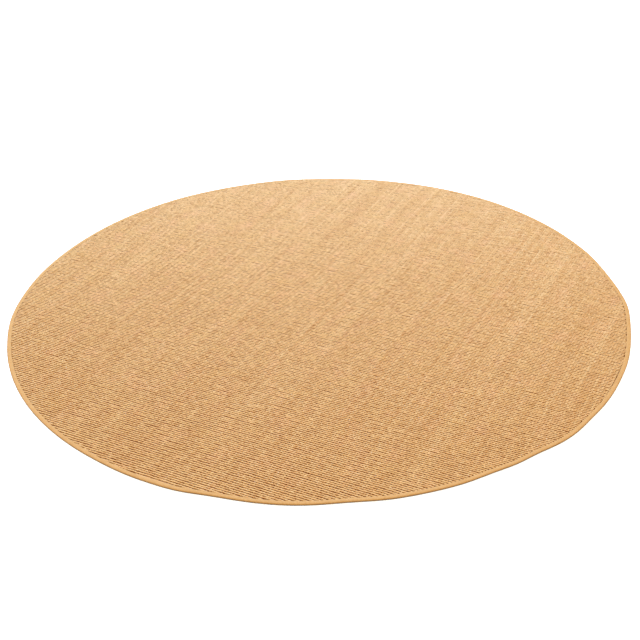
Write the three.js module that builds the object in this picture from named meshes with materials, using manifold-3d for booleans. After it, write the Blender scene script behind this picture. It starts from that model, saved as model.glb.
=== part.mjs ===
// A round rug of woven sisal with a bound edge, lying flat on a floor.
// Sizes are in millimetres and +Z is up. The origin is on the floor under the middle of the rug.
// The rows of the weave run along X and lie side by side along Y.

import * as THREE from "three";
import { mergeVertices } from "three/addons/utils/BufferGeometryUtils.js";
import Module from "manifold-3d";

const wasm = await Module();
wasm.setup();

// Driving dimensions
const RUG_RADIUS = 750; // the usual 1.5 m round rug
const RIM_STEPS = 200; // straight steps that make up the rim
const ROW_PITCH = 6.2; // from one woven row to the next
const ROW_TOP = 0.4; // the share of a row's pitch that is its level crest
const CREST_HEIGHT = 5; // the top of a row above the floor
const GROOVE_HEIGHT = 4.1; // the bottom of the groove between two rows
const BAND_WIDTH = 10.5; // how far the binding reaches in over the weave
const BAND_HEIGHT = 5.5; // the crown of the binding above the floor
const BAND_SHOULDER = 5.2; // the top of the binding's outer edge above the floor
const BAND_WALL = 1.1; // the binding's thickness above and below the weave
const BAND_EDGE = 3.2; // the binding's thickness outside the weave's cut edge
const BAND_ROUND = 1.7; // how far the binding's outer corners are rounded
const LIP_LOW = 1.4; // underside of the weave's cut edge, pressed thin in the binding
const LIP_HIGH = 3.4; // top of that edge
const GAP = 0.3; // the air between the weave and the binding
const SPARE = 1; // how far the uncut disc stands above the rows that trim it
const SPARE_ROWS = 4; // rows of the uncut cloth beyond the rug's width

// The cut edge isn't a true circle. Each row is one soft swell or hollow of it: the direction in
// degrees from +X, how far it stands out, and the half width in degrees over which it dies away.
const SWELLS = [
  { at: 14, out: -2.7, reach: 11 },
  { at: 24, out: 1.7, reach: 6 },
  { at: 37, out: -4.4, reach: 12 },
  { at: 50, out: -1.8, reach: 9 },
  { at: 80, out: 2.7, reach: 24 },
  { at: 113, out: -2.4, reach: 9 },
  { at: 125, out: 1.2, reach: 7 },
  { at: 150, out: 1.3, reach: 13 },
  { at: 179, out: -1.9, reach: 18 },
  { at: 208, out: 2.6, reach: 11 },
  { at: 268, out: 2.6, reach: 11 },
  { at: 274, out: 1.8, reach: 5 },
  { at: 281, out: -2.5, reach: 6 },
  { at: 291, out: 1.4, reach: 6 },
  { at: 301, out: -3.9, reach: 7 },
  { at: 324, out: -3.2, reach: 6 },
  { at: 332, out: -1.8, reach: 5 },
  { at: 340, out: 6.4, reach: 8 },
  { at: 350, out: 3.1, reach: 12 },
];

// How far the rim stands out at a place round the rug, as a share of its radius
function unevenness(degrees) {
  let out = 0;
  for (const swell of SWELLS) {
    const away = Math.abs(((degrees - swell.at + 540) % 360) - 180);
    if (away < swell.reach) {
      out += swell.out * 0.5 * (1 + Math.cos((Math.PI * away) / swell.reach));
    }
  }
  return 1 + out / RUG_RADIUS;
}

// The place that a point at this direction and radius of a true circle moves to
function rayPoint(degrees, radius) {
  const angle = THREE.MathUtils.degToRad(degrees);
  const r = radius * unevenness(degrees);
  return new THREE.Vector2(r * Math.cos(angle), r * Math.sin(angle));
}

// The middle of the uneven rim's box, which is put over the origin
function rimMiddle() {
  const box = new THREE.Box2();
  for (let step = 0; step < RIM_STEPS; step++) {
    box.expandByPoint(rayPoint((360 * step) / RIM_STEPS, RUG_RADIUS));
  }
  return box.getCenter(new THREE.Vector2());
}

const MIDDLE = rimMiddle();

// Merges the points that faces share and leaves out faces that have shrunk to a line
function welded(geometry) {
  geometry.deleteAttribute("normal");
  geometry.deleteAttribute("uv");
  const merged = mergeVertices(geometry);
  const kept = [];
  for (let i = 0; i < merged.index.count; i += 3) {
    const face = [0, 1, 2].map((corner) => merged.index.getX(i + corner));
    if (new Set(face).size === 3) kept.push(...face);
  }
  merged.setIndex(kept);
  return merged;
}

// Turns a section of [radius, height] points round the rug and follows the uneven rim
function turned(section) {
  const points = section.map(([radius, height]) => new THREE.Vector2(radius, height));
  const lathe = new THREE.LatheGeometry(points, RIM_STEPS);
  lathe.rotateX(Math.PI / 2);
  const geometry = welded(lathe);
  const position = geometry.attributes.position;
  for (let i = 0; i < position.count; i++) {
    const x = position.getX(i);
    const y = position.getY(i);
    const degrees = THREE.MathUtils.radToDeg(Math.atan2(y, x));
    const spot = rayPoint(degrees, Math.hypot(x, y)).sub(MIDDLE);
    position.setXY(i, spot.x, spot.y);
  }
  return geometry;
}

// The ribbed slab that the round cloth is cut from, with one low rib for each woven row
function wovenRows() {
  const rows = Math.ceil((2 * RUG_RADIUS) / ROW_PITCH) + SPARE_ROWS;
  const side = (rows * ROW_PITCH) / 2;
  const slope = ((1 - ROW_TOP) * ROW_PITCH) / 2;
  const profile = new THREE.Shape();
  profile.moveTo(-side, -CREST_HEIGHT);
  profile.lineTo(side, -CREST_HEIGHT);
  profile.lineTo(side, GROOVE_HEIGHT);
  for (let row = 1; row <= rows; row++) {
    const y = side - row * ROW_PITCH;
    profile.lineTo(y + ROW_PITCH - slope, CREST_HEIGHT);
    profile.lineTo(y + slope, CREST_HEIGHT);
    profile.lineTo(y, GROOVE_HEIGHT);
  }
  const slab = new THREE.ExtrudeGeometry(profile, { depth: 2 * side, bevelEnabled: false });
  slab.translate(0, 0, -side);
  const alongX = new THREE.Matrix4().makeBasis(
    new THREE.Vector3(0, 1, 0),
    new THREE.Vector3(0, 0, 1),
    new THREE.Vector3(1, 0, 0)
  );
  return welded(slab.applyMatrix4(alongX));
}

function solidOf(geometry) {
  return new wasm.Manifold(
    new wasm.Mesh({
      numProp: 3,
      vertProperties: new Float32Array(geometry.attributes.position.array),
      triVerts: new Uint32Array(geometry.index.array),
    })
  );
}

function geometryOf(solid) {
  const mesh = solid.getMesh();
  const geometry = new THREE.BufferGeometry();
  geometry.setAttribute("position", new THREE.BufferAttribute(mesh.vertProperties, 3));
  geometry.setIndex(new THREE.BufferAttribute(mesh.triVerts, 1));
  geometry.computeVertexNormals();
  return geometry;
}

// The woven cloth: a ribbed disc whose cut edge is a thin lip that the binding grips
function sisalField() {
  const inside = RUG_RADIUS - BAND_WIDTH - GAP;
  const cut = RUG_RADIUS - BAND_EDGE - GAP;
  const disc = turned([
    [0, 0],
    [inside, 0],
    [inside, LIP_LOW],
    [cut, LIP_LOW],
    [cut, LIP_HIGH],
    [inside, LIP_HIGH],
    [inside, CREST_HEIGHT + SPARE],
    [0, CREST_HEIGHT + SPARE],
  ]);
  const field = solidOf(disc).intersect(solidOf(wovenRows()));
  const sisal = new THREE.MeshStandardMaterial({ color: 0xd9ab79, roughness: 0.9, metalness: 0 });
  return new THREE.Mesh(geometryOf(field), sisal);
}

// The binding: a band of yarn wrapped over, round and under the cut edge
function edgeBinding() {
  const inner = RUG_RADIUS - BAND_WIDTH;
  const edge = RUG_RADIUS - BAND_EDGE;
  const low = LIP_LOW - GAP;
  const high = LIP_HIGH + GAP;
  const band = turned([
    [inner, 0],
    [RUG_RADIUS - BAND_ROUND, 0],
    [RUG_RADIUS, BAND_ROUND],
    [RUG_RADIUS, BAND_SHOULDER - BAND_ROUND],
    [RUG_RADIUS - BAND_ROUND, BAND_SHOULDER],
    [RUG_RADIUS - BAND_WIDTH / 2, BAND_HEIGHT],
    [inner, high + BAND_WALL],
    [inner, high],
    [edge, high],
    [edge, low],
    [inner, low],
    [inner, 0],
  ]);
  band.computeVertexNormals();
  const yarn = new THREE.MeshStandardMaterial({ color: 0xecbc87, roughness: 0.75, metalness: 0 });
  return new THREE.Mesh(band, yarn);
}

const field = sisalField();
field.name = "sisal_field";

const binding = edgeBinding();
binding.name = "edge_binding";

const rug = new THREE.Group();
rug.add(field, binding);

export default rug;
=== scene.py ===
"""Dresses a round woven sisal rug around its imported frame, on a plain pale floor."""

import math

import bpy
import numpy as np
from bpy.props import FloatProperty, FloatVectorProperty, IntProperty, PointerProperty
from mathutils import Matrix, Vector


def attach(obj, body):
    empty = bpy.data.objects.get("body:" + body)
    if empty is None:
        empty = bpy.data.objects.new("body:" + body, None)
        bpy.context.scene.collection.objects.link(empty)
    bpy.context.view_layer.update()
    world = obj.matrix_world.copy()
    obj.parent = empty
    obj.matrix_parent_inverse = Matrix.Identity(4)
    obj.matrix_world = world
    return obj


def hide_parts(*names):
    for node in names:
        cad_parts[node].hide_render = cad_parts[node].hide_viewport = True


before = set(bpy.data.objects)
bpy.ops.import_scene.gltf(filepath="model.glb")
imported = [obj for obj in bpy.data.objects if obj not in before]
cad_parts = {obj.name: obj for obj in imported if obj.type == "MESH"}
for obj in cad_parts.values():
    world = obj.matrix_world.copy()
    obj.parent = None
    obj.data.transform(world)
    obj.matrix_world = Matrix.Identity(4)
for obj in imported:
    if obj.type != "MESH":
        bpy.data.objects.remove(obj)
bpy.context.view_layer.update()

bl_info = {
    "name": "Round Sisal Rug",
    "version": (1, 0, 0),
    "blender": (4, 5, 0),
    "location": "View3D > Sidebar > Sisal Rug",
    "description": "Weaves a round sisal rug and wraps its edge with yarn",
    "category": "Add Mesh",
}

MM = 0.001
EYE_GAMMA = 2.2  # how the eye spaces light and dark

# The rim, and how finely its shape is worked out
RIM_STEPS = 1440
RIM_ROUNDING = 7  # steps over which a corner of the frame's straight-sided rim is eased

# The woven cloth under the loops
GROUND_TOP = 2.9 * MM
LIP_UNDERSIDE = 1.4 * MM  # the cut edge is pressed thin inside the binding
CUT_INSET = 3.5 * MM  # from the rim to the cloth's cut edge
BAND_INSET = 10.8 * MM  # from the rim to where the cloth has its full thickness
GROUND_RINGS = (0.75, 0.5, 0.25)  # shares of the radius at which its flat faces are divided

# The rows of loops
ROW_END_INSET = 6.5 * MM  # from the rim to the ends of the rows, under the binding
PRESSED_INSET = 9.8 * MM  # nearer the rim than this the loops are pressed flat
PRESS_EASE = 0.8 * MM  # over which they rise to their full height
PRESSED_TOP = 3.6 * MM  # the top of a pressed loop above the floor
LOOP_PIECES = 4  # the loops are kept in this many meshes, so that each stays light
LOOP_MIDDLE = 0.44  # the middle of a loop above the ground, as a share of the loop's height
LOOP_SLIDE = (1.2, 1.2, 0)  # the play of a loop along the row and across it, in slides
ROW_STRAY = (25, 900, 1)  # changes in a metre: a row strays over 40 mm, and each on its own

# The middle of the yarn as it goes round the edge: in from the rim and above the floor, in mm
TURN_PATH = [
    {"inward": 10.0, "height": 3.5},
    {"inward": 9.7, "height": 4.5},
    {"inward": 7.8, "height": 4.85},
    {"inward": 5.4, "height": 4.95},
    {"inward": 2.6, "height": 4.9},
    {"inward": 1.0, "height": 4.4},
    {"inward": 0.5, "height": 3.3},
    {"inward": 0.55, "height": 1.7},
    {"inward": 1.3, "height": 0.7},
    {"inward": 3.0, "height": 0.5},
    {"inward": 9.8, "height": 0.6},
]

# How far each kind of tint takes the sisal from its middle tone, where 0.5 is all the way to the
# brown or to the pale yarn
YARN_TINT = 0.07
ROW_TINT = 0.02
LOOP_TINT = 0.11
FLECK_TINT = 0.14

# The streaks and spots of the sisal: how often each changes from one warp yarn to the next and
# from one row to the next, and how far it tints
SISAL_STREAKS = [
    {"changes": (7.31, 0.02, 1), "tint": 0.09},  # one yarn wide and 310 mm long
    {"changes": (0.03, 7.31, 1), "tint": 0.03},  # one row wide and 210 mm long
    {"changes": (0.8, 0.8, 1), "tint": 0.09},  # spots 8 mm across
    {"changes": (0.11, 0.008, 1), "tint": 0.03},  # 56 mm wide and 780 mm long
]

# How often the other patterns change in a metre, along X, Y and Z. Sisal fibre is 0.2 mm thick,
# which is too fine to show, so all the fibres are drawn coarser.
FLECKS = (500, 500, 500)  # 2 mm, a few fibres that lie together
SISAL_FIBRES = (2400, 300, 2400)  # 0.4 mm thick and 3.3 mm long, the way that the warp runs
PINK_PATCHES = (22, 14, 1)  # 45 mm by 71 mm
STRAW_PATCHES = (16, 24, 1)  # 63 mm by 42 mm
CAST_TINT = 0.25  # how far a patch leans to pink or straw
CAST_DETAIL = 3.0
GROUND_THREADS = (160, 160, 160)  # 6.2 mm, from thread to thread of the flat weave
GROUND_TINT = 0.3
GROUND_FIBRES = (700, 700, 700)  # 1.4 mm
GROUND_LUSTRE = 0.1
WRAP_TINT = 0.2  # how far one turn of the binding differs from the next
WRAP_STREAKS = (60, 60, 1)  # 17 mm along the binding
WRAP_STREAK_TINT = 0.4
WRAP_FIBRES = (900, 900, 900)  # 1.1 mm
WRAP_LUSTRE = 0.2
WRAP_SHEEN = 0.04
FIBRE_RELIEF = 0.2 * MM

# Where a loop's foot is painted in shade and its crown painted darker, as shares of its height
SHADE_ENDS = 0.11  # full shade up to here
LIGHT_STARTS = 0.23  # and none from here
SHADE_UNEVENNESS = 0.12
CROWN_STARTS = 0.85

# Where the binding comes out of its painted shade, above the floor
WRAP_SHADE_ENDS = 0.5 * MM
WRAP_LIGHT_STARTS = 3.8 * MM

# The stage, in metres
FLOOR_REACH = 40.0  # from the middle of the floor to each side
SOFTBOX_PLACE = (-0.94, 0.9, 2.25)  # behind the rug and to its left, facing its middle
SOFTBOX_SIZE = (1.7, 1.4)
HORIZON = 0.02  # the light from all round fades in over this much either side of level


def linear(hex_colour):
    """An sRGB hex colour as linear red, green, blue and alpha."""
    shown = [int(hex_colour[i : i + 2], 16) / 255 for i in (1, 3, 5)]
    return [c / 12.92 if c <= 0.04045 else ((c + 0.055) / 1.055) ** 2.4 for c in shown] + [1.0]


def colour(name, description, hex_colour):
    said = {"name": name, "description": description}
    return FloatVectorProperty(**said, default=linear(hex_colour), size=4, subtype="COLOR")


def length(name, description, millimetres):
    default = millimetres * MM
    return FloatProperty(name=name, description=description, default=default, min=0, unit="LENGTH")


def metres(name, description, default):
    return FloatProperty(name=name, description=description, default=default, unit="LENGTH")


def share(name, description, default):
    said = {"name": name, "description": description}
    return FloatProperty(**said, default=default, min=0, max=1, subtype="FACTOR")


def turn(name, description, degrees):
    default = math.radians(degrees)
    return FloatProperty(name=name, description=description, default=default, subtype="ANGLE")


def light(name, description, default, **kind):
    return FloatProperty(name=name, description=description, default=default, min=0, **kind)


class WeaveSettings(bpy.types.PropertyGroup):
    """Sizes and colours of the looped sisal weave."""

    row_pitch: length("Row pitch", "From one row of loops to the next", 6.2)
    loop_pitch: length("Loop pitch", "From one loop to the next along a row", 6.2)
    loop_height: length("Loop height", "How far a loop stands above the woven ground", 2.5)
    foot_width: length("Foot width", "Width of a row of loops where it leaves the ground", 4.6)
    crest_width: length("Crest width", "Width of the flat top of a loop", 2.0)
    dip: share("Dip", "Size of the yarn between two loops, as a share of a loop", 0.78)
    unevenness: share("Unevenness", "How much one loop differs from the next", 0.14)
    wander: length("Wander", "How far a row strays from a straight line", 1.3)
    slide: length("Slide", "How far a loop lies out of its place", 0.9)
    lustre: share("Lustre", "How strongly the hard fibre reflects the light", 0.25)
    # Painted shade: the crown of each loop is painted this much darker, against the light on top
    painted_crown_shade: share("Rubbed", "How much darker the crown of the yarn is than its flanks", 0.45)
    seed: IntProperty(name="Seed", description="Picks another set of loops", default=3)
    pale: colour("Pale yarn", "The palest sisal", "#FFE4B2")
    brown: colour("Brown yarn", "The darkest sisal", "#C4884A")
    pink: colour("Pink yarn", "Sisal with a pink cast", "#F8BC98")
    straw: colour("Straw yarn", "Sisal with a yellow cast", "#F0C880")
    # Painted shade: the colour of the loops' foot and of the ground's top between the rows
    shade: colour("Shade", "The ground between two rows", "#6E3408")


class BindingSettings(bpy.types.PropertyGroup):
    """Sizes and colours of the yarn wrapped round the edge."""

    yarn_pitch: length("Yarn pitch", "From one turn of the yarn to the next", 2.6)
    yarn_width: length("Yarn width", "Across the yarn, flattened as it lies", 3.8)
    yarn_thickness: length("Yarn thickness", "Through the flattened yarn", 0.9)
    slant: length("Slant", "How far a turn leans along the rim", 1.3)
    unevenness: share("Unevenness", "How much one turn differs from the next", 0.04)
    seed: IntProperty(name="Seed", description="Picks another set of turns", default=5)
    light: colour("Light yarn", "The lightest turns", "#CF9D60")
    dark: colour("Dark yarn", "The darkest turns", "#C59255")
    # Painted shade: the colour the yarn is painted towards the floor
    shade: colour("Shade", "The yarn close to the floor", "#6A5A4C")


class StageSettings(bpy.types.PropertyGroup):
    """The camera, the light and the floor."""

    distance: metres("Distance", "From under the camera to the rug's middle", 2.54)
    height: metres("Height", "Camera above the floor", 1.5029)
    heading: turn("Heading", "Turn of the camera's place from -Y towards +X", 27.148)
    aim: turn("Aim", "Turn of the camera away from the rug's middle", -0.035)
    tilt: turn("Tilt", "Camera below the horizon", 31.205)
    roll: turn("Roll", "Lean of the camera to one side", -1.54)
    lens: FloatProperty(name="Lens", description="Focal length in millimetres", default=67.556)
    softbox: light("Softbox", "Power of the softbox", 137.0, unit="POWER")
    daylight: colour("Daylight", "Light of the softbox, cool as from a window", "#7DBAFF")
    sky: light("Sky", "Strength of the light from all round above", 1.279)
    lamplight: colour("Lamplight", "Light from all round above, a little warm", "#FFF2D6")
    floor: colour("Floor", "The plain floor", "#F4F4F4")
    glow: share("Glow", "Light of the floor itself, as of a light table", 0.55)


class RugSettings(bpy.types.PropertyGroup):
    """Everything a user can change about the rug."""

    weave: PointerProperty(type=WeaveSettings, name="Weave", description="The looped sisal weave")
    binding: PointerProperty(type=BindingSettings, name="Binding", description="The wrapped edge")
    stage: PointerProperty(type=StageSettings, name="Stage", description="Camera, light and floor")


# The shape of the rug


def rim_outline():
    """The rim in the frame, as RIM_STEPS places in even directions round the rug, in metres."""
    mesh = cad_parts["edge_binding"].data
    places = np.empty(len(mesh.vertices) * 3, np.float32)
    mesh.vertices.foreach_get("co", places)
    places = places.reshape(-1, 3).astype(float)
    level = np.round(places[:, 2] / MM, 2)
    reach = np.hypot(places[:, 0], places[:, 1])
    widest = max(np.unique(level), key=lambda height: reach[level == height].mean())
    wall = level == widest
    turned = np.arctan2(places[wall, 1], places[wall, 0])
    order = np.argsort(turned)
    directions = np.arange(RIM_STEPS) * math.tau / RIM_STEPS
    radius = np.interp(directions, turned[order], reach[wall][order], period=math.tau)
    around = np.arange(RIM_ROUNDING) - RIM_ROUNDING // 2
    radius = np.mean([np.roll(radius, shift) for shift in around], axis=0)
    return np.stack([radius * np.cos(directions), radius * np.sin(directions)], axis=1)


RIM = rim_outline()


def inset(distance):
    """The rim moved in towards the middle of the rug."""
    radius = np.hypot(RIM[:, 0], RIM[:, 1])[:, None]
    return RIM * (radius - distance) / radius


def row_ends(weave):
    """The two ends of each row of loops, on whole loops, with the rows in order along +Y."""
    outline = inset(ROW_END_INSET)
    after = np.roll(outline, -1, axis=0)
    last = math.ceil(outline[:, 1].max() / weave.row_pitch)
    ends = []
    for row in range(-last, last):
        y = (row + 0.5) * weave.row_pitch
        crossed = (outline[:, 1] > y) != (after[:, 1] > y)
        if crossed.sum() != 2:
            continue
        here, there = outline[crossed], after[crossed]
        along = (y - here[:, 1]) / (there[:, 1] - here[:, 1])
        left, right = sorted(here[:, 0] + along * (there[:, 0] - here[:, 0]))
        first = math.ceil(left / weave.loop_pitch)
        final = math.floor(right / weave.loop_pitch)
        if final > first:
            ends.append([(x * weave.loop_pitch, y, GROUND_TOP) for x in (first, final)])
    return ends


def new_piece(name, points, edges=(), faces=()):
    """A new mesh object at the origin."""
    mesh = bpy.data.meshes.new(name)
    mesh.from_pydata([tuple(map(float, point)) for point in points], edges, faces)
    piece = bpy.data.objects.new(name, mesh)
    bpy.context.scene.collection.objects.link(piece)
    return piece


def rim_line(name):
    """The rim as one closed line on the floor."""
    edges = [(step, (step + 1) % RIM_STEPS) for step in range(RIM_STEPS)]
    return new_piece(name, [(x, y, 0) for x, y in RIM], edges)


def turned_disc(name, rings):
    """A closed disc from rings of (outline, height), listed from its top round to its underside."""
    points = [(x, y, height) for outline, height in rings for x, y in outline]
    faces = []
    for ring in range(len(rings) - 1):
        for step in range(RIM_STEPS):
            a = ring * RIM_STEPS + step
            b = ring * RIM_STEPS + (step + 1) % RIM_STEPS
            faces.append((a, a + RIM_STEPS, b + RIM_STEPS, b))
    for ring, order in ((0, 1), (len(rings) - 1, -1)):
        middle = len(points)
        points.append((0, 0, rings[ring][1]))
        for step in range(RIM_STEPS):
            pair = (ring * RIM_STEPS + step, ring * RIM_STEPS + (step + 1) % RIM_STEPS)
            faces.append((middle, *pair[::order]))
    return new_piece(name, points, faces=faces)


def turn_of_yarn(binding):
    """One turn of the edge yarn, with X along the rim and Y in towards the rug."""
    path = [Vector((0, row["inward"] * MM, row["height"] * MM)) for row in TURN_PATH]
    walked = [0.0]
    for before, here in zip(path, path[1:]):
        walked.append(walked[-1] + (here - before).length)
    points = []
    for i, middle in enumerate(path):
        way = (path[min(i + 1, len(path) - 1)] - path[max(i - 1, 0)]).normalized()
        out = way.cross(Vector((1, 0, 0)))
        lean = Vector((binding.slant * (walked[i] / walked[-1] - 0.5), 0, 0))
        side = Vector((binding.yarn_width / 2, 0, 0))
        depth = out * binding.yarn_thickness / 2
        points += [middle + lean + offset for offset in (side, depth, -side, -depth)]
    faces = [(0, 1, 2, 3), tuple(len(points) - 1 - corner for corner in range(4))]
    for ring in range(len(path) - 1):
        for corner in range(4):
            a, b = ring * 4 + corner, ring * 4 + (corner + 1) % 4
            faces.append((a, a + 4, b + 4, b))
    return new_piece("turn_of_yarn", points, faces=faces)


# Geometry nodes


def add(tree, kind, inputs=None, output=None, **settings):
    """Adds a node with its own settings, and gives its first output or the one that is named.
    Each input, by name or place, takes a value or another node's output."""
    node = tree.nodes.new(kind)
    for name, value in settings.items():
        setattr(node, name, value)
    for key, value in (inputs or {}).items():
        named = [socket for socket in node.inputs if socket.enabled and socket.name == key]
        socket = named[0] if named else node.inputs[key]
        if isinstance(value, bpy.types.NodeSocket):
            tree.links.new(value, socket)
        else:
            socket.default_value = value
    usable = [socket for socket in node.outputs if socket.enabled and output in (None, socket.name)]
    return usable[0] if usable else None


def new_tree(name, sockets):
    """A geometry node tree with these inputs as well as its geometry, and what its inputs give."""
    tree = bpy.data.node_groups.new(name, "GeometryNodeTree")
    tree.interface.new_socket("Geometry", in_out="OUTPUT", socket_type="NodeSocketGeometry")
    for label, kind in {"Geometry": "Geometry", **sockets, "Material": "Material"}.items():
        tree.interface.new_socket(label, in_out="INPUT", socket_type="NodeSocket" + kind)
    return tree, tree.nodes.new("NodeGroupInput").outputs


def end_tree(tree, geometry, given):
    """Ends a tree with a smooth, real mesh in its material."""
    smooth = add(tree, "GeometryNodeSetShadeSmooth", {"Geometry": geometry})
    real = add(tree, "GeometryNodeRealizeInstances", {"Geometry": smooth})
    finish = {"Geometry": real, "Material": given["Material"]}
    dressed = add(tree, "GeometryNodeSetMaterial", finish)
    add(tree, "NodeGroupOutput", {"Geometry": dressed})


def grow(piece, tree, values):
    """Runs the tree on the piece with these values and keeps the result as its plain mesh."""
    modifier = piece.modifiers.new(tree.name, "NODES")
    modifier.node_group = tree
    for item in tree.interface.items_tree:
        if item.in_out == "INPUT" and item.name in values:
            modifier[item.identifier] = values[item.name]
    depsgraph = bpy.context.evaluated_depsgraph_get()
    grown = bpy.data.meshes.new_from_object(piece.evaluated_get(depsgraph))
    piece.modifiers.remove(modifier)
    piece.data = grown
    grown.name = piece.name


def loop_tree():
    """Turns each straight edge into a row of loops that follows it."""
    sizes = ("Row pitch", "Loop pitch", "Loop height", "Foot width", "Crest width", "Wander")
    others = ("Slide", "Dip", "Unevenness", "Seed", "Pressed inset", "Press ease", "Pressed top")
    sockets = {"Rim": "Object", **dict.fromkeys(sizes + others, "Float")}
    tree, given = new_tree("Rows of loops", sockets)
    place = add(tree, "GeometryNodeInputPosition")

    # Each row gets a point at every loop and between every two
    rows = add(tree, "GeometryNodeMeshToCurve", {"Mesh": given["Geometry"]})
    step = add(tree, "ShaderNodeMath", {0: given["Loop pitch"], 1: 0.5}, operation="MULTIPLY")
    rows = add(tree, "GeometryNodeResampleCurve", {"Curve": rows, "Length": step}, mode="LENGTH")
    rows = add(tree, "GeometryNodeSetCurveNormal", {"Curve": rows}, mode="Z_UP")

    # The seed moves the place that the noises read
    seed = add(tree, "ShaderNodeCombineXYZ", {"Z": given["Seed"]})
    seeded = add(tree, "ShaderNodeVectorMath", {0: place, 1: seed}, operation="ADD")
    random = add(tree, "ShaderNodeTexWhiteNoise", {"Vector": seeded}, output="Value")

    # A row keeps its number
    y = add(tree, "ShaderNodeSeparateXYZ", {0: place}, output="Y")
    along = add(tree, "ShaderNodeMath", {0: y, 1: given["Row pitch"]}, operation="DIVIDE")
    number = add(tree, "ShaderNodeMath", {0: along}, operation="FLOOR")
    rows = add(
        tree,
        "GeometryNodeStoreNamedAttribute",
        {"Geometry": rows, "Name": "row", "Value": number},
        data_type="FLOAT",
        domain="POINT",
    )

    # A row strays to either side, each on its own, and each loop lies a little out of its place
    by_row = add(tree, "ShaderNodeVectorMath", {0: seeded, 1: ROW_STRAY}, operation="MULTIPLY")
    stray = add(tree, "ShaderNodeTexNoise", {"Vector": by_row, "Scale": 1.0, "Detail": 1.0})
    stray = add(tree, "ShaderNodeMapRange", {"Value": stray, "To Min": -1.0})
    stray = add(tree, "ShaderNodeMath", {0: stray, 1: given["Wander"]}, operation="MULTIPLY")
    aside = add(tree, "ShaderNodeCombineXYZ", {"Y": stray})
    slid = add(tree, "ShaderNodeTexWhiteNoise", {"Vector": seeded}, output="Color")
    slid = add(tree, "ShaderNodeVectorMath", {0: slid, 1: (0.5, 0.5, 0.5)}, operation="SUBTRACT")
    slid = add(tree, "ShaderNodeVectorMath", {0: slid, 1: LOOP_SLIDE}, operation="MULTIPLY")
    slid = add(tree, "ShaderNodeVectorMath", {0: slid, "Scale": given["Slide"]}, operation="SCALE")
    moved = add(tree, "ShaderNodeVectorMath", {0: aside, 1: slid}, operation="ADD")
    rows = add(tree, "GeometryNodeSetPosition", {"Geometry": rows, "Offset": moved})

    # Every second point is the top of a loop, and no two are alike
    index = add(tree, "GeometryNodeSplineParameter", output="Index")
    top = add(tree, "ShaderNodeMath", {0: index, 1: 2.0}, operation="MODULO")
    size = add(tree, "ShaderNodeMapRange", {"Value": top, "To Min": given["Dip"]})
    less = add(tree, "ShaderNodeMath", {0: 1.0, 1: given["Unevenness"]}, operation="SUBTRACT")
    more = add(tree, "ShaderNodeMath", {0: 1.0, 1: given["Unevenness"]}, operation="ADD")
    differs = add(tree, "ShaderNodeMapRange", {"Value": random, "To Min": less, "To Max": more})
    size = add(tree, "ShaderNodeMath", {0: size, 1: differs}, operation="MULTIPLY")

    # The section of a row, whose own Y points down. Its foot is a little under the ground's top.
    widths = {"Bottom Width": given["Crest width"], "Top Width": given["Foot width"], "Offset": 0.0}
    section = add(
        tree,
        "GeometryNodeCurvePrimitiveQuadrilateral",
        {"Height": given["Loop height"], **widths},
        mode="TRAPEZOID",
    )

    # Each corner of it knows whether it is at the top of the yarn or at its foot, for the painted
    # shade at the foot and the painted darker crown
    rise = add(tree, "ShaderNodeMath", {0: y, 1: 0.0}, operation="LESS_THAN")
    section = add(
        tree,
        "GeometryNodeStoreNamedAttribute",
        {"Geometry": section, "Name": "rise", "Value": rise},
        data_type="FLOAT",
        domain="POINT",
    )
    raised = {0: given["Loop height"], 1: -LOOP_MIDDLE}
    lift = add(tree, "ShaderNodeMath", raised, operation="MULTIPLY")
    lift = add(tree, "ShaderNodeCombineXYZ", {"Y": lift})
    section = add(tree, "GeometryNodeTransform", {"Geometry": section, "Translation": lift})
    swept = {"Curve": rows, "Profile Curve": section, "Scale": size, "Fill Caps": True}
    loops = add(tree, "GeometryNodeCurveToMesh", swept)

    # Under the binding the loops are pressed flat
    x, y, z = (add(tree, "ShaderNodeSeparateXYZ", {0: place}, output=axis) for axis in "XYZ")
    rim = add(tree, "GeometryNodeObjectInfo", {"Object": given["Rim"]}, output="Geometry")
    level = add(tree, "ShaderNodeCombineXYZ", {"X": x, "Y": y})
    near = add(
        tree,
        "GeometryNodeProximity",
        {"Geometry": rim, "Sample Position": level},
        output="Distance",
        target_element="EDGES",
    )
    start = given["Pressed inset"]
    clear = add(tree, "ShaderNodeMath", {0: start, 1: given["Press ease"]}, operation="ADD")
    free = add(tree, "ShaderNodeMapRange", {"Value": near, "From Min": start, "From Max": clear})
    pressed = add(tree, "ShaderNodeMath", {0: z, 1: given["Pressed top"]}, operation="MINIMUM")
    height = add(tree, "ShaderNodeMapRange", {"Value": free, "To Min": pressed, "To Max": z})
    moved = add(tree, "ShaderNodeCombineXYZ", {"X": x, "Y": y, "Z": height})
    loops = add(tree, "GeometryNodeSetPosition", {"Geometry": loops, "Position": moved})

    # Each face carries the number of its warp yarn and of its row, for the tints
    across = add(tree, "ShaderNodeMath", {0: x, 1: given["Loop pitch"]}, operation="DIVIDE")
    yarn = add(tree, "ShaderNodeMath", {0: across}, operation="FLOOR")
    kept = {"output": "Attribute", "data_type": "FLOAT"}
    row = add(tree, "GeometryNodeInputNamedAttribute", {"Name": "row"}, **kept)
    numbers = add(tree, "ShaderNodeCombineXYZ", {"X": yarn, "Y": row})
    loops = add(
        tree,
        "GeometryNodeStoreNamedAttribute",
        {"Geometry": loops, "Name": "loop", "Value": numbers},
        data_type="FLOAT_VECTOR",
        domain="FACE",
    )
    end_tree(tree, loops, given)
    return tree


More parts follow.
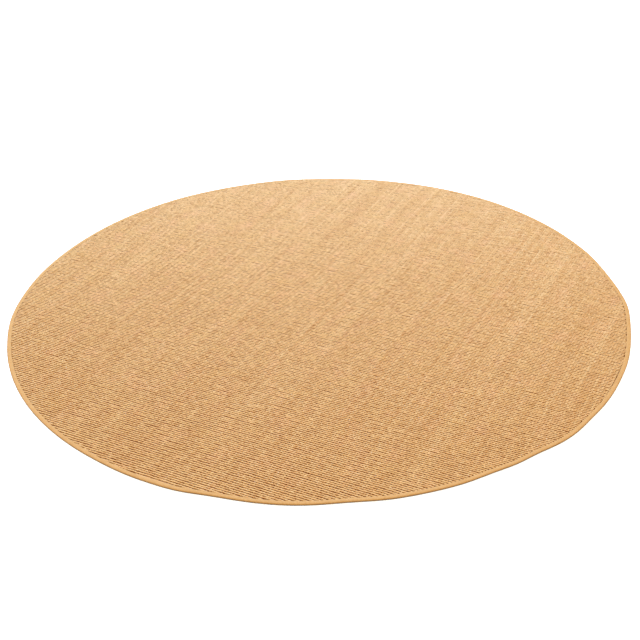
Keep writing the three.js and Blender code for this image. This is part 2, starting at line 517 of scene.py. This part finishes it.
def wrap_tree():
    """Sets one turn of yarn beside the next all round the rim."""
    sockets = {"Turn": "Object", "Yarn pitch": "Float", "Unevenness": "Float", "Seed": "Int"}
    tree, given = new_tree("Wrapped edge", sockets)
    rim = add(tree, "GeometryNodeMeshToCurve", {"Mesh": given["Geometry"]})
    spaced = {"Curve": rim, "Length": given["Yarn pitch"]}
    rim = add(tree, "GeometryNodeResampleCurve", spaced, mode="LENGTH")
    along = add(tree, "GeometryNodeInputTangent")
    axes = {"Primary Axis": (0, 0, 1), "Secondary Axis": along}
    facing = add(tree, "FunctionNodeAxesToRotation", axes, primary_axis="Z", secondary_axis="X")
    less = add(tree, "ShaderNodeMath", {0: 1.0, 1: given["Unevenness"]}, operation="SUBTRACT")
    more = add(tree, "ShaderNodeMath", {0: 1.0, 1: given["Unevenness"]}, operation="ADD")
    reach = add(tree, "FunctionNodeRandomValue", {"Min": less, "Max": more, "Seed": given["Seed"]})
    size = add(tree, "ShaderNodeCombineXYZ", {"X": 1.0, "Y": reach, "Z": 1.0})
    shape = add(tree, "GeometryNodeObjectInfo", {"Object": given["Turn"]}, output="Geometry")
    set_out = {"Points": rim, "Instance": shape, "Rotation": facing, "Scale": size}
    turns = add(tree, "GeometryNodeInstanceOnPoints", set_out)
    number = add(tree, "GeometryNodeInputIndex")
    turns = add(
        tree,
        "GeometryNodeStoreNamedAttribute",
        {"Geometry": turns, "Name": "turn", "Value": number},
        data_type="FLOAT",
        domain="INSTANCE",
    )
    end_tree(tree, turns, given)
    return tree


# Materials


def new_material(name, roughness):
    """A material, its node tree and the inputs of its shader."""
    material = bpy.data.materials.new(name)
    material.use_nodes = True
    shader = material.node_tree.nodes["Principled BSDF"]
    shader.inputs["Roughness"].default_value = roughness
    return material, material.node_tree, shader.inputs


def by_eye(mixed):
    """A colour as the eye spaces it. Mixed so, and brought back by a Gamma node of EYE_GAMMA, the
    darker yarns stay as warm as sisal does."""
    return [channel ** (1 / EYE_GAMMA) for channel in mixed[:3]] + [1.0]


def mottle(tree, vector, changes, tint, detail=2.0):
    """Soft noise about zero, as far as this tint either way. It changes this many times over each
    unit of the vector's three numbers."""
    stretched = add(tree, "ShaderNodeMapping", {"Vector": vector, "Scale": changes})
    noise = add(tree, "ShaderNodeTexNoise", {"Vector": stretched, "Scale": 1.0, "Detail": detail})
    ends = {"From Min": 0.25, "From Max": 0.75, "To Min": -tint, "To Max": tint}
    return add(tree, "ShaderNodeMapRange", {"Value": noise, **ends})


def own_tint(tree, numbers, tint, dimensions):
    """A tint of its own for each number or pair of numbers, as far as this either way."""
    key = "W" if dimensions == "1D" else "Vector"
    noise = add(tree, "ShaderNodeTexWhiteNoise", {key: numbers}, noise_dimensions=dimensions)
    return add(tree, "ShaderNodeMapRange", {"Value": noise, "To Min": -tint, "To Max": tint})


def raise_fibres(tree, inputs, place, changes, strength):
    """Raises fine fibres in the light, which break up the lustre."""
    height = mottle(tree, place, changes, 0.5)
    bump = {"Height": height, "Strength": strength, "Distance": FIBRE_RELIEF}
    tree.links.new(add(tree, "ShaderNodeBump", bump), inputs["Normal"])


def looped_sisal(weave):
    """Looped sisal yarn: a hard leaf fibre, spun coarse and left undyed. Each warp yarn keeps its
    own tint along the rug and each row across it, which gives long pale and brown streaks. Each
    loop differs. The foot of the loops is painted in the shade colour, as painted shade, and their
    crown is painted a little darker than their flanks, as painted shade against the light on top."""
    material, tree, inputs = new_material("looped_sisal", roughness=0.7)
    loop = add(tree, "ShaderNodeAttribute", output="Vector", attribute_name="loop")
    place = add(tree, "ShaderNodeTexCoord", output="Object")
    yarn = add(tree, "ShaderNodeSeparateXYZ", {0: loop}, output="X")
    row = add(tree, "ShaderNodeSeparateXYZ", {0: loop}, output="Y")
    tone = 0.5
    for tint in (
        own_tint(tree, yarn, YARN_TINT, "1D"),
        own_tint(tree, row, ROW_TINT, "1D"),
        own_tint(tree, loop, LOOP_TINT, "2D"),
        *(mottle(tree, loop, streak["changes"], streak["tint"]) for streak in SISAL_STREAKS),
        mottle(tree, place, FLECKS, FLECK_TINT),
    ):
        tone = add(tree, "ShaderNodeMath", {0: tone, 1: tint}, operation="ADD")
    spun = {"Factor": tone, "A": by_eye(weave.brown), "B": by_eye(weave.pale)}
    spun = add(tree, "ShaderNodeMix", spun, data_type="RGBA")
    for cast, changes in ((weave.pink, PINK_PATCHES), (weave.straw, STRAW_PATCHES)):
        patchy = mottle(tree, place, changes, CAST_TINT, CAST_DETAIL)
        leaning = {"Factor": patchy, "A": spun, "B": by_eye(cast)}
        spun = add(tree, "ShaderNodeMix", leaning, data_type="RGBA")

    # Painted shade: the foot of the yarn is painted in the shade colour, and its crown is painted
    # darker than its flanks, to even out the light that falls more on the crown
    rise = add(tree, "ShaderNodeAttribute", output="Fac", attribute_name="rise")
    crown = {"Value": rise, "From Min": CROWN_STARTS, "To Max": weave.painted_crown_shade}
    crown = add(tree, "ShaderNodeMapRange", crown)
    # Painted shade on the crown, mixed towards the brown yarn
    painted_crown_shade = {"Factor": crown, "A": spun, "B": by_eye(weave.brown)}
    spun = add(tree, "ShaderNodeMix", painted_crown_shade, data_type="RGBA")
    # Painted shade reaches a little higher on some loops than on others
    uneven = own_tint(tree, loop, SHADE_UNEVENNESS, "2D")
    proud = add(tree, "ShaderNodeMath", {0: rise, 1: uneven}, operation="ADD")
    ends = {"From Min": SHADE_ENDS, "From Max": LIGHT_STARTS}
    clear = add(tree, "ShaderNodeMapRange", {"Value": proud, **ends})
    with_painted_shade = {"Factor": clear, "A": by_eye(weave.shade), "B": spun}
    with_painted_shade = add(tree, "ShaderNodeMix", with_painted_shade, data_type="RGBA")
    seen = add(tree, "ShaderNodeGamma", {"Color": with_painted_shade, "Gamma": EYE_GAMMA})
    tree.links.new(seen, inputs["Base Color"])

    # The hard fibre has a low lustre, strongest where the rug is seen at a low angle
    inputs["Specular IOR Level"].default_value = weave.lustre
    raise_fibres(tree, inputs, place, SISAL_FIBRES, strength=0.5)
    return material


def woven_ground(weave):
    """The flat ground of the weave, in the same sisal. Its top, between the rows, is painted in the
    shade colour as painted shade, and its underside is plain."""
    material, tree, inputs = new_material("woven_sisal_ground", roughness=0.9)
    place = add(tree, "ShaderNodeTexCoord", output="Object")
    height = add(tree, "ShaderNodeSeparateXYZ", {0: place}, output="Z")
    # Painted shade: the ground's top, between the rows, takes the shade colour
    shaded_top = add(tree, "ShaderNodeMath", {0: height, 1: GROUND_TOP / 2}, operation="GREATER_THAN")
    thread = mottle(tree, place, GROUND_THREADS, GROUND_TINT)
    thread = add(tree, "ShaderNodeMath", {0: thread, 1: 0.5}, operation="ADD")
    under = {"Factor": thread, "A": list(weave.brown), "B": list(weave.pale)}
    under = add(tree, "ShaderNodeMix", under, data_type="RGBA")
    both = {"Factor": shaded_top, "A": under, "B": list(weave.shade)}
    tree.links.new(add(tree, "ShaderNodeMix", both, data_type="RGBA"), inputs["Base Color"])

    # Down between the rows the fibre is loose and dull
    inputs["Specular IOR Level"].default_value = GROUND_LUSTRE
    raise_fibres(tree, inputs, place, GROUND_FIBRES, strength=0.4)
    return material


def edge_yarn(binding):
    """Cotton yarn, spun soft and wrapped by machine. It is smoother and more even than the sisal,
    with hardly any gloss and a faint sheen of loose fibre. It is painted darker towards the
    floor, as painted shade."""
    material, tree, inputs = new_material("wrapped_edge_yarn", roughness=0.7)
    number = add(tree, "ShaderNodeAttribute", output="Fac", attribute_name="turn")
    place = add(tree, "ShaderNodeTexCoord", output="Object")
    tone = 0.5
    for tint in (
        own_tint(tree, number, WRAP_TINT, "1D"),
        mottle(tree, place, WRAP_STREAKS, WRAP_STREAK_TINT),
    ):
        tone = add(tree, "ShaderNodeMath", {0: tone, 1: tint}, operation="ADD")
    spun = {"Factor": tone, "A": list(binding.dark), "B": list(binding.light)}
    spun = add(tree, "ShaderNodeMix", spun, data_type="RGBA")
    # Painted shade: the yarn is painted darker towards the floor
    height = add(tree, "ShaderNodeSeparateXYZ", {0: place}, output="Z")
    ends = {"From Min": WRAP_SHADE_ENDS, "From Max": WRAP_LIGHT_STARTS}
    clear = add(tree, "ShaderNodeMapRange", {"Value": height, **ends})
    with_painted_shade = {"Factor": clear, "A": list(binding.shade), "B": spun}
    tree.links.new(add(tree, "ShaderNodeMix", with_painted_shade, data_type="RGBA"), inputs["Base Color"])
    inputs["Specular IOR Level"].default_value = WRAP_LUSTRE
    inputs["Sheen Weight"].default_value = WRAP_SHEEN
    raise_fibres(tree, inputs, place, WRAP_FIBRES, strength=0.4)
    return material


# Operators


class RUG_OT_ground(bpy.types.Operator):
    """Weaves the flat ground of the cloth, cut to the rug's outline"""

    bl_idname = "rug.ground"
    bl_label = "Woven Ground"

    def execute(self, context):
        cut, full = inset(CUT_INSET), inset(BAND_INSET)
        middle = [(full * share_of, GROUND_TOP) for share_of in GROUND_RINGS[::-1]]
        under = [(full * share_of, 0.0) for share_of in GROUND_RINGS]
        edge = [
            (full, GROUND_TOP),
            (cut, GROUND_TOP),
            (cut, LIP_UNDERSIDE),
            (full, LIP_UNDERSIDE),
            (full, 0.0),
        ]
        cloth = turned_disc("sisal_cloth", [*middle, *edge, *under])
        cloth.data.materials.append(woven_ground(context.scene.rug.weave))
        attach(cloth, "root")
        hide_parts("sisal_field")
        return {"FINISHED"}


class RUG_OT_loops(bpy.types.Operator):
    """Raises the rows of sisal loops on the ground"""

    bl_idname = "rug.loops"
    bl_label = "Rows of Loops"

    def execute(self, context):
        weave = context.scene.rug.weave
        ends = row_ends(weave)
        if not ends:
            raise RuntimeError("no row of loops fits on the rug")
        lengths = np.array([right[0] - left[0] for left, right in ends]).cumsum()
        group = np.ceil(lengths / lengths[-1] * LOOP_PIECES).astype(int)
        rim = rim_line("rim")
        tree, finish = loop_tree(), looped_sisal(weave)
        for number in range(1, LOOP_PIECES + 1):
            points = [end for row, here in zip(ends, group) if here == number for end in row]
            edges = [(i, i + 1) for i in range(0, len(points), 2)]
            loops = new_piece(f"sisal_loops_{number}", points, edges)
            values = {
                "Rim": rim,
                "Row pitch": weave.row_pitch,
                "Loop pitch": weave.loop_pitch,
                "Loop height": weave.loop_height,
                "Foot width": weave.foot_width,
                "Crest width": weave.crest_width,
                "Wander": weave.wander,
                "Slide": weave.slide,
                "Dip": weave.dip,
                "Unevenness": weave.unevenness,
                "Seed": float(weave.seed),
                "Pressed inset": PRESSED_INSET,
                "Press ease": PRESS_EASE,
                "Pressed top": PRESSED_TOP,
                "Material": finish,
            }
            grow(loops, tree, values)
            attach(loops, "root")
        bpy.data.objects.remove(rim)
        return {"FINISHED"}


class RUG_OT_binding(bpy.types.Operator):
    """Wraps the cut edge with yarn"""

    bl_idname = "rug.binding"
    bl_label = "Wrapped Edge"

    def execute(self, context):
        binding = context.scene.rug.binding
        wraps = rim_line("edge_wraps")
        shape = turn_of_yarn(binding)
        values = {
            "Turn": shape,
            "Yarn pitch": binding.yarn_pitch,
            "Unevenness": binding.unevenness,
            "Seed": binding.seed,
            "Material": edge_yarn(binding),
        }
        grow(wraps, wrap_tree(), values)
        bpy.data.objects.remove(shape)
        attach(wraps, "root")
        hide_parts("edge_binding")
        return {"FINISHED"}


class RUG_OT_sheet(bpy.types.Operator):
    bl_idname = "rug.sheet"
    bl_label = "Laid Sheet"

    def execute(self, context):
        return {"FINISHED"}


def looking(here, there):
    """The placing of a lamp that stands here and faces there."""
    way = Vector(there) - Vector(here)
    placed = way.to_track_quat("-Z", "Y").to_matrix().to_4x4()
    placed.translation = here
    return placed


class RUG_OT_stage(bpy.types.Operator):
    """Lays the plain floor and sets the light and the camera"""

    bl_idname = "rug.stage"
    bl_label = "Floor, Light and Camera"

    def execute(self, context):
        scene, stage = context.scene, context.scene.rug.stage
        side = FLOOR_REACH
        corners = [(-side, -side, 0), (side, -side, 0), (side, side, 0), (-side, side, 0)]
        floor = new_piece("floor", corners, faces=[(0, 1, 2, 3)])

        # A floor painted matt white and lit from within, so that hardly a shadow lies on it
        paint, _, inputs = new_material("matt_painted_floor", roughness=0.9)
        inputs["Base Color"].default_value = list(stage.floor)
        inputs["Specular IOR Level"].default_value = 0.0
        inputs["Emission Color"].default_value = (1, 1, 1, 1)
        inputs["Emission Strength"].default_value = stage.glow
        floor.data.materials.append(paint)

        # It is white in the picture, but throws no light up under the edge of the rug
        floor.visible_diffuse = False

        # Even light from all round above and none from below. What the picture shows behind the
        # floor is plain white.
        world = bpy.data.worlds.new("even_light")
        world.use_nodes = True
        tree = world.node_tree
        way = add(tree, "ShaderNodeTexCoord", output="Object")
        up = add(tree, "ShaderNodeSeparateXYZ", {0: way}, output="Z")
        ends = {"From Min": -HORIZON, "From Max": HORIZON, "To Max": stage.sky}
        glow = add(tree, "ShaderNodeMapRange", {"Value": up, **ends})
        seen = add(tree, "ShaderNodeLightPath", output="Is Camera Ray")
        hue = {"Factor": seen, "A": list(stage.lamplight), "B": (1, 1, 1, 1)}
        sky = tree.nodes["Background"].inputs
        tree.links.new(add(tree, "ShaderNodeMix", hue, data_type="RGBA"), sky["Color"])
        strength = {"Value": seen, "To Min": glow, "To Max": 1.0}
        tree.links.new(add(tree, "ShaderNodeMapRange", strength), sky["Strength"])
        scene.world = world
        scene.view_settings.view_transform = "Standard"

        box = bpy.data.lights.new("softbox", "AREA")
        box.shape = "RECTANGLE"
        box.size, box.size_y = SOFTBOX_SIZE
        box.energy, box.color = stage.softbox, stage.daylight[:3]
        softbox = bpy.data.objects.new("softbox", box)
        softbox.matrix_world = looking(SOFTBOX_PLACE, (0, 0, 0))
        scene.collection.objects.link(softbox)

        lens = bpy.data.cameras.new("camera")
        lens.lens = stage.lens
        camera = bpy.data.objects.new("camera", lens)
        aimed = Matrix.Rotation(stage.heading + stage.aim, 4, "Z")
        aimed = aimed @ Matrix.Rotation(math.pi / 2 - stage.tilt, 4, "X")
        aimed = aimed @ Matrix.Rotation(stage.roll, 4, "Z")
        place = Vector((0, -stage.distance, stage.height))
        aimed.translation = Matrix.Rotation(stage.heading, 4, "Z") @ place
        camera.matrix_world = aimed
        scene.collection.objects.link(camera)
        scene.camera = camera
        return {"FINISHED"}


OPERATORS = (RUG_OT_ground, RUG_OT_loops, RUG_OT_binding, RUG_OT_sheet, RUG_OT_stage)


class RUG_PT_panel(bpy.types.Panel):
    """Lists the steps that make the rug"""

    bl_idname = "RUG_PT_panel"
    bl_label = "Sisal Rug"
    bl_space_type = "VIEW_3D"
    bl_region_type = "UI"
    bl_category = "Sisal Rug"

    def draw(self, context):
        rug = context.scene.rug
        for settings in (rug.weave, rug.binding, rug.stage):
            box = self.layout.box()
            for name in settings.__annotations__:
                box.prop(settings, name)
        for operator in OPERATORS:
            self.layout.operator(operator.bl_idname)


CLASSES = (WeaveSettings, BindingSettings, StageSettings, RugSettings, *OPERATORS, RUG_PT_panel)


def register():
    for one in CLASSES:
        bpy.utils.register_class(one)
    bpy.types.Scene.rug = PointerProperty(type=RugSettings)


def unregister():
    del bpy.types.Scene.rug
    for one in reversed(CLASSES):
        bpy.utils.unregister_class(one)


def main():
    """Makes the rug and its stage."""
    register()
    for operator in OPERATORS:
        group, name = operator.bl_idname.split(".")
        getattr(getattr(bpy.ops, group), name)()


if __name__ == "__main__":
    main()
